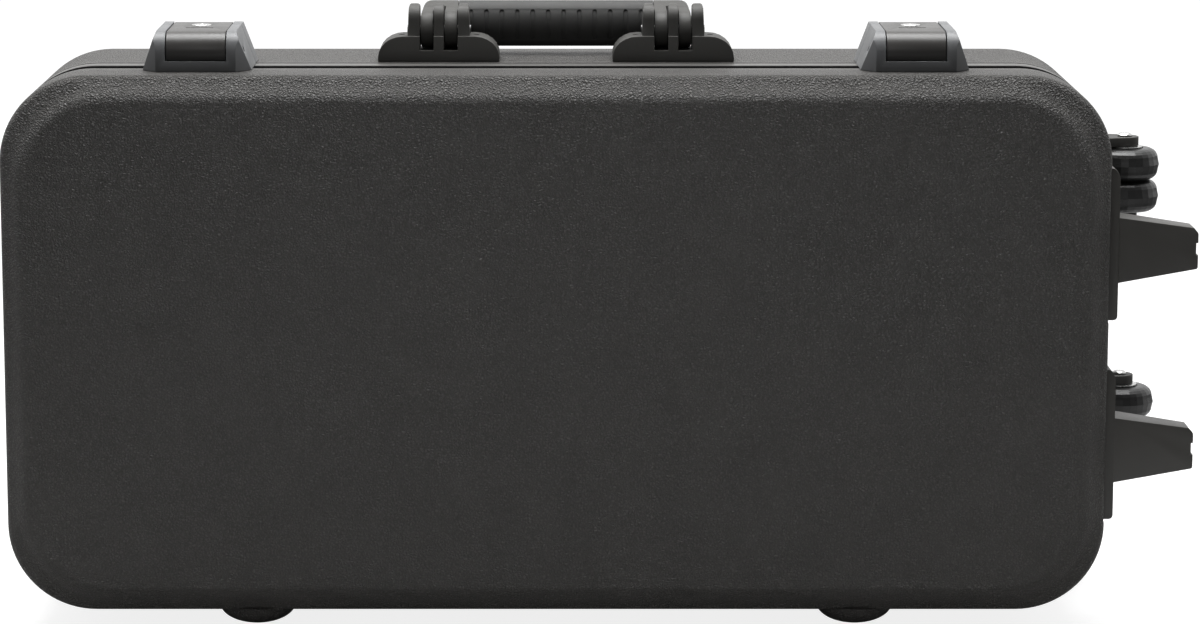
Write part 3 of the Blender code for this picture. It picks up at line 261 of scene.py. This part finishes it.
def rounded_over(bm, edges, offset, segments):
    bmesh.ops.bevel(
        bm,
        geom=edges,
        offset=offset,
        offset_type="OFFSET",
        segments=segments,
        profile=0.5,
        affect="EDGES",
        clamp_overlap=True,
        material=-1,
    )


def pocket_mesh(height):
    low = (case_width / 2 - pocket_depth, pocket_span[0], height - pocket_reach)
    high = (case_width / 2 + shell_wall, pocket_span[1], height + pocket_reach)
    return as_mesh(brick(low, high, pocket_round, pocket_segments, 0), "pocket")


def shell_mesh(half, span, way):
    """The skin of one half with its wall grown inwards and its bumps joined on."""
    bm = lofted(panel_stations(span, way), capped=(-1,))
    if sum(face.normal.y * face.calc_area() for face in bm.faces) * way < 0:
        bmesh.ops.reverse_faces(bm, faces=bm.faces)
    mesh = worked(as_mesh(bm, "skin"), "SOLIDIFY", thickness=shell_wall, offset=-1.0, use_even_offset=True)
    bumps = [bump_mesh(side * bump_spacing / 2, bump_depths[half]) for side in (-1, 1)]
    return worked(mesh, "BOOLEAN", bumps, operation="UNION")


lid_mesh = shell_mesh("lid", lid_shell_span, -1)
lid_mesh = worked(lid_mesh, "BOOLEAN", [pocket_mesh(z) for z in foot_heights], operation="DIFFERENCE")
lid_finish = pebbled("lid_grain", lid_shell_span[0], -1)
shown("lid_shell_moulding", lid_mesh, lid_finish, "lid", ["lid_shell"])
body_mesh = shell_mesh("body", body_shell_span, 1)
body_finish = pebbled("body_grain", body_shell_span[0], 1)
shown("body_shell_moulding", body_mesh, body_finish, "body", ["body_shell"])

# Rims: smooth satin profiles that cap both parting edges, set back at the joint. The faces in the gap, which are
# the front of the body's rim and all of the lid's, carry a near-black painted shade, so that a dark gap runs round
# the case. The body's is the wide light strip in front of its grained wall, and a thin lip on it reaches into the
# lid's.
rim_recess, rim_shadow, strip_end, flange = 0.0020, 0.0078, 0.0223, (0.0043, 0.0063)
lip, lip_root, lip_reach, rim_gap = (0.0067, 0.0082), 0.0100, 0.0040, 0.0006
lid_land_end, lid_flange_end, body_flange_end = 0.0072, 0.0300, 0.0360
rim_round, strip_margin = 0.0005, 0.0001
gap_shade_colour, strip_colour = (0.0035, 0.0035, 0.0035), (0.062, 0.060, 0.057)
cloud_scale, cloud_dark, cloud_light, sheen_spread = 45.0, 0.86, 1.16, 0.10


def satin(name, colour, roughness, grain, depth, specular=0.5):
    """Smooth moulded plastic: fine tooling grain, and a slightly uneven sheen."""
    made, tree, shader, place = plain(name, roughness, specular=specular)
    fine = noise(tree, place, grain, 3.0)
    relief(tree, shader, fine, depth)
    broad = noise(tree, place, cloud_scale, 4.0)
    darker, lighter = [c * cloud_dark for c in colour], [c * cloud_light for c in colour]
    tree.links.new(tinted(tree, broad, darker, lighter), shader.inputs["Base Color"])
    mixed = node(tree, "Math", {0: fine, 1: broad}, operation="MULTIPLY").outputs[0]
    low, high = roughness - sheen_spread / 2, roughness + sheen_spread
    tree.links.new(ramp(tree, mixed, 0.1, 0.45, low, high), shader.inputs["Roughness"])
    return made


def rim_mesh(stations):
    bm = lofted(stations, ring=True)
    return worked(as_mesh(bm, "rim"), "BEVEL", width=rim_round, segments=2, limit_method="ANGLE")


body_rim = [
    (rim_gap, rim_recess),
    (rim_shadow, rim_recess),
    (rim_shadow, 0.0),
    (strip_end, 0.0),
    (strip_end, flange[0]),
    (body_flange_end, flange[0]),
    (body_flange_end, flange[1]),
    (lip_root, flange[1]),
    (lip_root, lip[1]),
    (-lip_reach, lip[1]),
    (-lip_reach, lip[0]),
    (rim_gap, lip[0]),
]
lid_rim = [
    (-rim_gap, rim_recess),
    (-rim_gap, flange[1]),
    (-lid_flange_end, flange[1]),
    (-lid_flange_end, flange[0]),
    (-lid_land_end, flange[0]),
    (-lid_land_end, rim_recess),
]
rim_finish = satin("rim_satin", strip_colour, 0.38, 900.0, 0.00003)
# A near-black painted shade for the faces down in the gap.
gap_shade_finish = satin("rim_gap_shade", gap_shade_colour, 0.60, 900.0, 0.00003, specular=0.2)
strip_front = case_middle.y + rim_shadow + strip_margin
for half, profile in (("body", body_rim), ("lid", lid_rim)):
    rim = shown(f"{half}_rim_profile", rim_mesh(profile), rim_finish, half, [f"{half}_rim"])
    rim.data.materials.append(gap_shade_finish)
    # Every face in front of the strip, down in the gap, takes the near-black painted shade.
    for face in rim.data.polygons:
        face.material_index = int(face.center.y < strip_front)

# Foam liners: a tray in the body and a pad in the lid, cut from dense charcoal foam with open cells. They are
# pressed into the shells behind the rims, and their cut edges are slightly rounded.
liner_side, cavity_side, liner_round, liner_fold = 0.0067, 0.0257, 0.0035, 0.6
foam_scale, foam_depth, painted_pore_shade, pore_light = 700.0, 0.0005, (0.008, 0.008, 0.009), (0.036, 0.036, 0.039)
liner_panel, floor_draft = (0.0117, 0.0220), 0.0045
liners = {
    "body": (1, 0.0107, 0.1133, 0.1209, 0.1050),
    "lid": (-1, 0.0052, 0.0435, 0.0511, 0.0332),
}


def foamed(name):
    """Open-celled foam: a matte surface full of small round pores, their pits painted darker as shade."""
    made, tree, shader, place = plain(name, 0.95, specular=0.15)
    cells = node(tree, "TexVoronoi", {"Vector": place, "Scale": foam_scale}, feature="F1").outputs["Distance"]
    pores = ramp(tree, cells, 0.15, 0.55, 0.0, 1.0)
    soft = noise(tree, place, 1500.0, 3.0)
    height = node(tree, "Math", {0: soft, 1: 0.4, 2: pores}, operation="MULTIPLY_ADD").outputs[0]
    relief(tree, shader, height, foam_depth)
    # The pits of the pores are painted darker: painted shade in the pores.
    tree.links.new(tinted(tree, pores, painted_pore_shade, pore_light), shader.inputs["Base Color"])
    shader.inputs["Sheen Weight"].default_value = 0.3
    return made


foam_finish = foamed("foam_cells")
for half, (way, edge, ledge_depth, panel_depth, floor) in liners.items():
    points = [
        (floor, cavity_side + floor_draft),
        (edge, cavity_side),
        (edge, liner_side),
        (ledge_depth, liner_side),
        (ledge_depth, liner_panel[0]),
        (panel_depth, liner_panel[1]),
    ]
    bm = lofted([(way * depth, inset) for depth, inset in points], capped=(0, -1))
    folds = [e for e in bm.edges if e.is_manifold and e.calc_face_angle() > liner_fold]
    rounded_over(bm, folds, liner_round, 4)
    bmesh.ops.recalc_face_normals(bm, faces=bm.faces)
    liner = shown(f"{half}_foam", as_mesh(bm, "foam"), foam_finish, half, [f"{half}_liner"])

# Bottom hinges: two pressed steel butt hinges across the parting edge, each with two leaves and a pin.
metal_edge, flat_limit = 0.0003, 1.0
line_scale, line_depth, stain_scale, stain_dark = 1200.0, 0.00002, 160.0, 0.72


def brushed(name, colour, roughness, stretch):
    """Bare metal with fine lines along one axis and a little tarnish."""
    made, tree, shader, place = plain(name, roughness, metallic=1.0)
    pulled = node(tree, "Mapping", {"Vector": place, "Scale": stretch}).outputs[0]
    lines = noise(tree, pulled, line_scale, 2.0)
    relief(tree, shader, lines, line_depth)
    stain = ramp(tree, noise(tree, place, stain_scale, 5.0), 0.35, 0.7, 0.0, 1.0)
    darker = [c * stain_dark for c in colour]
    tree.links.new(tinted(tree, stain, colour, darker), shader.inputs["Base Color"])
    low, high = roughness - 0.08, roughness + 0.15
    tree.links.new(ramp(tree, lines, 0.2, 0.8, low, high), shader.inputs["Roughness"])
    return made


def merged(name):
    """A CAD solid as one closed mesh, its flat faces whole again."""
    bm = bmesh.new()
    bm.from_mesh(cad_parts[name].data)
    bmesh.ops.remove_doubles(bm, verts=bm.verts, dist=weld)
    bmesh.ops.dissolve_limit(bm, angle_limit=math.radians(flat_limit), verts=bm.verts, edges=bm.edges)
    return bm


def dressed(cad, name, finish, body, offset, segments=3, sharp=30.0):
    """Shows a CAD solid, its sharp edges rounded over, as a detailed piece in the solid's place."""
    bm = merged(cad)
    turn = math.radians(sharp)
    edges = [e for e in bm.edges if e.is_manifold and e.calc_face_angle() > turn]
    rounded_over(bm, edges, offset, segments)
    shown(name, as_mesh(bm, cad), finish, body, [cad], Vector())


def finished(cad, finish):
    """Gives a material to a CAD node that stays in sight as it is."""
    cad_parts[cad].data.materials[0] = finish


dark_steel = brushed("steel_dull", (0.22, 0.22, 0.22), 0.38, (1.0, 0.06, 0.06))
for side in ("left", "right"):
    for half in ("lid", "body"):
        plate = f"hinge_plate_{half}_{side}"
        dressed(f"hinge_leaf_{half}_{side}", plate, dark_steel, half, metal_edge, 2)
    finished(f"hinge_pin_{side}", dark_steel)

# Latch frames and keepers: grey satin housings. The frame is screwed to the lid and holds the lever between two
# ears; the keeper is its rear half on the body, with the lip that the lever's hook takes hold of.
latch_edge = 0.0009
latch_grey = satin("latch_grey", (0.118, 0.121, 0.125), 0.42, 700.0, 0.00003)
for side in ("left", "right"):
    for kind, body in (("frame", "lid"), ("keeper", "body")):
        housing = f"latch_{kind}_housing_{side}"
        dressed(f"latch_{kind}_{side}", housing, latch_grey, body, latch_edge)

# Latch levers: charcoal plastic with a drum nose, hinged in the frame on a steel pin, with a torsion spring and a
# pressed steel hook below.
lever_edge = 0.0006
lever_finish = satin("lever_plastic", (0.040, 0.038, 0.036), 0.34, 800.0, 0.00003)
for side in ("left", "right"):
    lever = f"latch_lever_{side}"
    dressed(lever, f"lever_moulding_{side}", lever_finish, lever, lever_edge)
    dressed(f"latch_hook_{side}", f"hook_plate_{side}", dark_steel, lever, metal_edge, 2)
    for kind in ("pin", "spring"):
        finished(f"latch_{kind}_{side}", dark_steel)

# Key locks: a bright turned plug with a key slot in each lever, and a steel cam on its inner end.
plug_edge = 0.0004
bright_steel = brushed("steel_bright", (0.68, 0.68, 0.67), 0.26, (1.0, 1.0, 0.08))
for side in ("left", "right"):
    plug = f"lock_cylinder_{side}"
    dressed(plug, f"lock_plug_{side}", bright_steel, f"lock_{side}", plug_edge)
    finished(f"lock_cam_{side}", dark_steel)

# Handle brackets: matte charcoal mouldings with domed shoulders and three lugs, each screwed down by two pan-head
# screws to a steel strip inside the body.
moulded_edge = 0.0010
bracket_finish = satin("bracket_matte", (0.040, 0.039, 0.036), 0.55, 1500.0, 0.00006, specular=0.4)
for side in ("left", "right"):
    moulding = f"bracket_moulding_{side}"
    dressed(f"handle_bracket_{side}", moulding, bracket_finish, "body", moulded_edge)
    finished(f"handle_pin_{side}", dark_steel)
for name in ("handle_screw_1", "handle_screw_2", "handle_screw_3", "handle_screw_4", "handle_backplate"):
    finished(name, dark_steel)

# Handle: a stiff plastic core whose forked ends turn on the pins, and a soft sleeve moulded over its bar, with
# short cross grooves for the fingers.
grip_finish = satin("grip_soft", (0.038, 0.038, 0.037), 0.62, 1100.0, 0.00005, specular=0.35)
dressed("handle_core", "handle_fork", bracket_finish, "handle", moulded_edge)
dressed("handle_grip", "handle_sleeve", grip_finish, "handle", moulded_edge)

# Wheel brackets: matte charcoal mouldings on the body's end wall, each with two ears that hold an axle.
carrier_edge, turned_edge, turned_angle = 0.0007, 0.0003, 40.0
for level in ("upper", "lower"):
    carrier = f"wheel_carrier_{level}"
    dressed(f"wheel_bracket_{level}", carrier, bracket_finish, "body", carrier_edge, 2)
    for kind in ("bolt", "nut", "washer"):
        cad, turned = f"axle_{kind}_{level}", f"turned_{kind}_{level}"
        dressed(cad, turned, bright_steel, "body", turned_edge, 2, turned_angle)

# Wheels: hard black rubber treads on moulded hubs, two to an axle, each turning by itself.
tread_finish = satin("tread_rubber", (0.018, 0.018, 0.018), 0.30, 600.0, 0.00004)
hub_finish = satin("hub_plastic", (0.026, 0.026, 0.026), 0.45, 700.0, 0.00004)
for level in ("upper", "lower"):
    for spot in ("top", "bottom"):
        finished(f"wheel_tyre_{level}_{spot}", tread_finish)
        finished(f"wheel_hub_{level}_{spot}", hub_finish)

# Wedge feet: smooth charcoal mouldings let into the lid's end wall. The case stands on their tips and the wheels
# when it is on end.
foot_finish = satin("foot_smooth", (0.050, 0.048, 0.044), 0.44, 900.0, 0.00003)
for level in ("upper", "lower"):
    wedge = f"wedge_moulding_{level}"
    dressed(f"wedge_foot_{level}", wedge, foot_finish, "lid", moulded_edge)

# Studio: a pale floor, a white surround that is dimmer on the camera's side, a broad soft lamp over the case and
# a weak fill in front.
floor_reach, floor_glow = 30.0, 0.84
near_span, paper_far, paper_near = (0.35, 1.0), (0.12, 0.12, 0.12), (0.55, 0.55, 0.55)
sky_span, sky_behind = (-0.35, 0.10), 0.10
floor_mesh = bmesh.new()
bmesh.ops.create_grid(floor_mesh, x_segments=1, y_segments=1, size=floor_reach)
floor = bpy.data.objects.new("floor", as_mesh(floor_mesh, "floor"))
bpy.context.scene.collection.objects.link(floor)
floor_finish = bpy.data.materials.new("floor_paper")
floor_finish.use_nodes = True
tree = floor_finish.node_tree
tree.nodes.clear()
seen = node(tree, "LightPath").outputs["Is Camera Ray"]
spot = node(tree, "TexCoord").outputs["Object"]
away = node(tree, "VectorMath", {0: spot}, operation="LENGTH").outputs["Value"]
near = ramp(tree, away, *near_span, 1.0, 0.0)
paper = node(tree, "BsdfDiffuse", {"Color": tinted(tree, near, paper_far, paper_near)}).outputs[0]
shaded = node(tree, "BsdfDiffuse", {"Color": (0.30, 0.30, 0.30, 1)}).outputs[0]
glow = node(tree, "Emission", {"Color": (1, 1, 1, 1), "Strength": floor_glow}).outputs[0]
lifted = node(tree, "AddShader", {0: shaded, 1: glow}).outputs[0]
mixed = node(tree, "MixShader", {0: seen, 1: paper, 2: lifted}).outputs[0]
tree.links.new(mixed, node(tree, "OutputMaterial").inputs["Surface"])
floor.data.materials.append(floor_finish)

world = bpy.data.worlds.new("surround")
bpy.context.scene.world = world
world.use_nodes = True
tree = world.node_tree
tree.nodes.clear()
seen = node(tree, "LightPath").outputs["Is Camera Ray"]
direction = node(tree, "SeparateXYZ", {"Vector": node(tree, "TexCoord").outputs["Generated"]}).outputs["Y"]
behind = ramp(tree, direction, *sky_span, sky_behind, 1.0)
strength = node(tree, "Math", {0: seen, 1: behind}, operation="MAXIMUM").outputs[0]
sky = node(tree, "Background", {"Color": (1, 1, 1, 1), "Strength": strength}).outputs[0]
tree.links.new(sky, node(tree, "OutputWorld").inputs["Surface"])


def softbox(name, place, target, size, power):
    lamp = bpy.data.lights.new(name, "AREA")
    lamp.shape = "RECTANGLE"
    lamp.size, lamp.size_y = size
    lamp.energy = power
    box = bpy.data.objects.new(name, lamp)
    box.location = place
    box.rotation_euler = (Vector(target) - Vector(place)).to_track_quat("-Z", "Y").to_euler()
    bpy.context.scene.collection.objects.link(box)


softbox("overhead", (-0.1, 0.15, 1.9), (-0.1, 0.15, 0), (2.2, 1.2), 72.0)
softbox("front_fill", (-0.4, -2.8, 1.1), (0, 0, 0.2), (1.2, 0.8), 3.0)

lens = bpy.data.cameras.new("view")
lens.sensor_width = 36.0
lens.lens = 121.44
lens.shift_x = 44 / 1200
lens.clip_end = 100.0
camera = bpy.data.objects.new("view", lens)
camera.location = (-0.02925, -2.6762, 0.6586)
camera.rotation_euler = (math.radians(90 - 9.793), 0, 0)
bpy.context.scene.collection.objects.link(camera)
bpy.context.scene.camera = camera
bpy.context.scene.view_settings.view_transform = "Standard"
